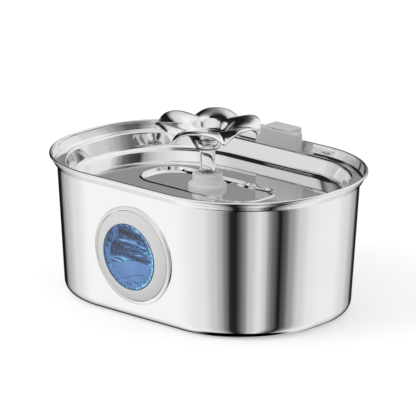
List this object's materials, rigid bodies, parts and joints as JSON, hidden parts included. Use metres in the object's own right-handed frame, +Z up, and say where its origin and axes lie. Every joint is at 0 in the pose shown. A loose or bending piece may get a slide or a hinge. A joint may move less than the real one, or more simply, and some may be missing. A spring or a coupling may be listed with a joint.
{
  "type": "pet water fountain",
  "caption": "Free-standing pet drinking fountain: oval polished steel tank with a round window, sunk drinking tray, and a pump that lifts water up a clear tube to a petalled spout.",
  "frame": {"origin": "middle of the tank's flat underside, on the ground, below the spout's axis", "axes": "+X along the long side, to the right when the window is faced; -Y towards the window; +Z up"},
  "size_m": [0.25, 0.1821, 0.1391],
  "materials": {
    "polished_steel": "mirror polish",
    "shaft_steel": "ground",
    "light_grey_plastic": "satin",
    "grey_plastic": "satin",
    "white_plastic": "satin",
    "milky_plastic": "translucent, smooth",
    "clear_plastic": "clear, polished",
    "blue_plastic": "clear tinted, polished",
    "black_plastic": "satin",
    "black_rubber": "smooth",
    "soft_rubber": "smooth, translucent",
    "white_fleece": "needled fleece",
    "carbon": "granules",
    "ceramic": "ground",
    "magnet": "sintered",
    "core_iron": "stamped laminations",
    "copper": "enamelled wire",
    "board_green": "solder resist",
    "grey_foam": "open-cell foam"
  },
  "bodies": {
    "tank": {"tank": "polished_steel", "window_trim_ring": "polished_steel", "window_bezel": "light_grey_plastic", "window_lens": "blue_plastic", "window_gasket": "black_rubber", "window_washer": "black_rubber", "window_nut": "white_plastic"},
    "tray": {"tray": "polished_steel", "spout_hub": "milky_plastic", "tube_seal": "soft_rubber", "hub_washer": "soft_rubber", "hub_nut": "white_plastic"},
    "spout_tube": {"spout_tube": "clear_plastic"},
    "flower_spout": {"flower_spout": "polished_steel"},
    "cable_guide": {"cable_guide": "grey_plastic"},
    "filter_case": {"filter_case": "white_plastic"},
    "cartridge": {"cartridge_frame": "white_plastic", "cartridge_grille": "white_plastic", "filter_fleece": "white_fleece", "filter_carbon": "carbon"},
    "pump": {"pump_housing": "black_plastic", "pump_rear_cover": "black_plastic", "volute_cover": "black_plastic", "intake_cover": "black_plastic", "front_bush": "ceramic", "rear_bush": "ceramic", "rotor_shaft": "shaft_steel", "stator_core": "core_iron", "stator_winding": "copper", "driver_board": "board_green", "suction_cups": "black_rubber", "riser_pipe": "clear_plastic", "cable_gland": "black_rubber", "prefilter_foam": "grey_foam"},
    "rotor": {"impeller": "white_plastic", "rotor_magnet": "magnet"},
    "regulator": {"flow_regulator": "grey_plastic"}
  },
  "joints": [
    {"name": "tray_lift", "type": "slide", "parent": "tank", "child": "tray", "axis": [0, 0, 1], "range_m": [0, 0.25]},
    {"name": "spout_tube_lift", "type": "slide", "parent": "tray", "child": "spout_tube", "axis": [0, 0, 1], "range_m": [0, 0.04]},
    {"name": "flower_lift", "type": "slide", "parent": "spout_tube", "child": "flower_spout", "axis": [0, 0, 1], "range_m": [0, 0.025]},
    {"name": "cable_guide_lift", "type": "slide", "parent": "tray", "child": "cable_guide", "axis": [0, 0, 1], "range_m": [0, 0.05]},
    {"name": "case_lift", "type": "slide", "parent": "tank", "child": "filter_case", "axis": [0, 0, 1], "range_m": [0, 0.1255]},
    {"name": "pump_lift", "type": "slide", "parent": "filter_case", "child": "pump", "axis": [0, 0, 1], "range_m": [0, 0.0705]},
    {"name": "cartridge_lift", "type": "slide", "parent": "filter_case", "child": "cartridge", "axis": [0, 0, 1], "range_m": [0, 0.1055]},
    {"name": "impeller_spin", "type": "hinge", "parent": "pump", "child": "rotor", "pos_m": [0, 0, 0.0232], "axis": [1, 0, 0], "continuous": true},
    {"name": "regulator_slide", "type": "slide", "parent": "pump", "child": "regulator", "axis": [0, 0, 1], "range_m": [0, 0.006]}
  ],
  "couplings": [
    {"joint": "case_lift", "follows": "tray_lift", "ratio": 0.5},
    {"joint": "pump_lift", "follows": "tray_lift", "ratio": 0.28},
    {"joint": "cartridge_lift", "follows": "tray_lift", "ratio": 0.42}
  ]
}
